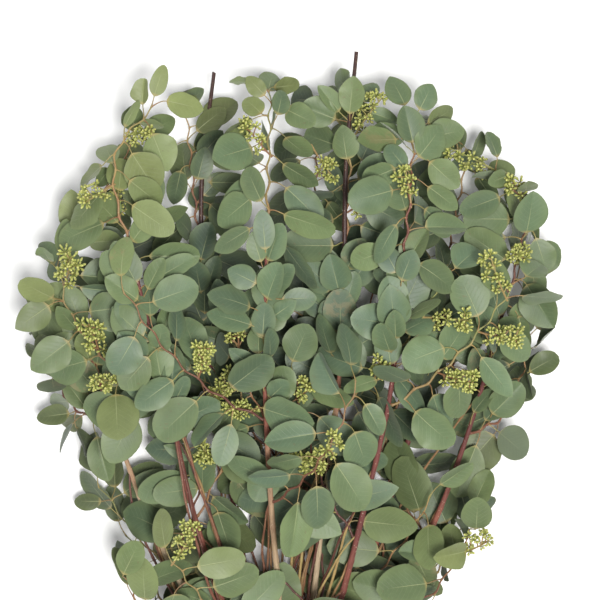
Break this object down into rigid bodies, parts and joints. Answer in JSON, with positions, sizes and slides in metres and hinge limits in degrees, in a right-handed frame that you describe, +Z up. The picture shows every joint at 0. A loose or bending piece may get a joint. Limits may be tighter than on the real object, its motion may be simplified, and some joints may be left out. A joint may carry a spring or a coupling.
{
  "type": "bunch of eucalyptus",
  "caption": "Cut bunch of seeded eucalyptus lying on its side: woody stems held by a rubber band, fanning out into leafy twigs with sprays of flower buds.",
  "frame": {"origin": "middle of the bunch's footprint, on the surface that it lies on", "axes": "+Y from the cut ends of the stems to the tips of the twigs, +Z up from the surface, +X across the fan"},
  "size_m": [0.5348, 0.7552, 0.1799],
  "materials": {
    "bark": "matte",
    "leaf": "matte",
    "bud": "satin",
    "band": "satin"
  },
  "bodies": {
    "root": {"stem_01": "bark", "stem_02": "bark", "stem_03": "bark", "stem_04": "bark", "stem_05": "bark", "stem_06": "bark", "stem_07": "bark", "stem_08": "bark", "stem_09": "bark", "leafy_twig_01": "leaf", "leafy_twig_02": "leaf", "leafy_twig_03": "leaf", "leafy_twig_04": "leaf", "leafy_twig_05": "leaf", "leafy_twig_06": "leaf", "leafy_twig_07": "leaf", "leafy_twig_08": "leaf", "leafy_twig_09": "leaf", "leafy_twig_10": "leaf", "leafy_twig_11": "leaf", "leafy_twig_12": "leaf", "leafy_twig_13": "leaf", "leafy_twig_14": "leaf", "leafy_twig_15": "leaf", "leafy_twig_16": "leaf", "leafy_twig_17": "leaf", "leafy_twig_18": "leaf", "leafy_twig_19": "leaf", "leafy_twig_20": "leaf", "leafy_twig_21": "leaf", "leafy_twig_22": "leaf", "leafy_twig_23": "leaf", "leafy_twig_24": "leaf", "leafy_twig_25": "leaf", "leafy_twig_26": "leaf", "leafy_twig_27": "leaf", "leafy_twig_28": "leaf", "leafy_twig_29": "leaf", "leafy_twig_30": "leaf", "leafy_twig_31": "leaf", "leafy_twig_32": "leaf", "leafy_twig_33": "leaf", "leafy_twig_34": "leaf", "leafy_twig_35": "leaf", "leafy_twig_36": "leaf", "bud_spray_01": "bud", "bud_spray_02": "bud", "bud_spray_03": "bud", "bud_spray_04": "bud", "bud_spray_05": "bud", "bud_spray_06": "bud", "bud_spray_07": "bud", "bud_spray_08": "bud", "bud_spray_09": "bud", "bud_spray_10": "bud", "bud_spray_11": "bud", "bud_spray_12": "bud", "bud_spray_13": "bud", "bud_spray_14": "bud", "rubber_band": "band"}
  },
  "joints": []
}
